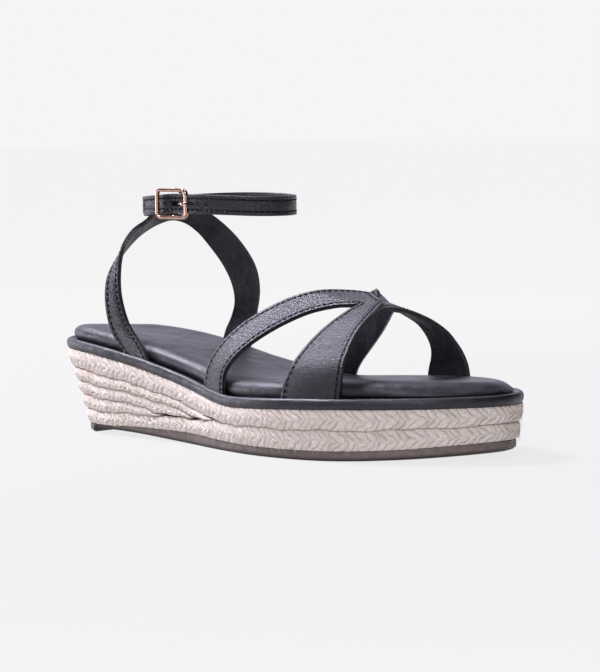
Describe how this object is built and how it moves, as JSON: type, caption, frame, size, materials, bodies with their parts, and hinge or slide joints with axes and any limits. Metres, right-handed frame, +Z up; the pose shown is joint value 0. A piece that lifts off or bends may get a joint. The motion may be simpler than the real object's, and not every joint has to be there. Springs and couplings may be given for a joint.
{
  "type": "wedge sandal",
  "caption": "Open wedge sandal with a padded footbed, jute-wrapped platform, crossed toe straps, a heel sling and a buckled ankle strap.",
  "frame": {"origin": "on the ground under the centre of the bounding box", "axes": "+X to the toe, +Y to the medial side of this right shoe, +Z up"},
  "size_m": [0.251, 0.0902, 0.1059],
  "materials": {
    "black_leather": "satin",
    "lining": "matte",
    "jute": "rough woven",
    "cork": "matte",
    "board": "matte",
    "foam": "matte",
    "rubber_sole": "matte",
    "rose_gold": "polished"
  },
  "bodies": {
    "sandal": {"outsole": "rubber_sole", "wedge_core": "cork", "jute_row_top": "jute", "jute_row_base": "jute", "jute_heel_row_1": "jute", "jute_heel_row_2": "jute", "jute_heel_row_3": "jute", "rand_wrap": "black_leather", "platform_board": "board", "footbed_foam": "foam", "footbed_cover": "black_leather", "vamp_lateral_leather": "black_leather", "vamp_lateral_lining": "lining", "vamp_medial_leather": "black_leather", "vamp_medial_lining": "lining", "sling_leather": "black_leather", "sling_lining": "lining", "ankle_strap_leather": "black_leather", "ankle_strap_lining": "lining", "buckle_tab": "black_leather"},
    "frame": {"buckle_frame": "rose_gold"},
    "prong": {"buckle_prong": "rose_gold"}
  },
  "joints": [
    {"name": "frame_rock", "type": "hinge", "parent": "sandal", "child": "frame", "pos_m": [-0.0405, -0.0136, 0.0994], "axis": [0, 0, 1], "range_deg": [-2, 2]},
    {"name": "prong_lift", "type": "hinge", "parent": "frame", "child": "prong", "pos_m": [-0.0405, -0.0136, 0.0994], "axis": [0, 0, -1], "range_deg": [0, 50]}
  ]
}
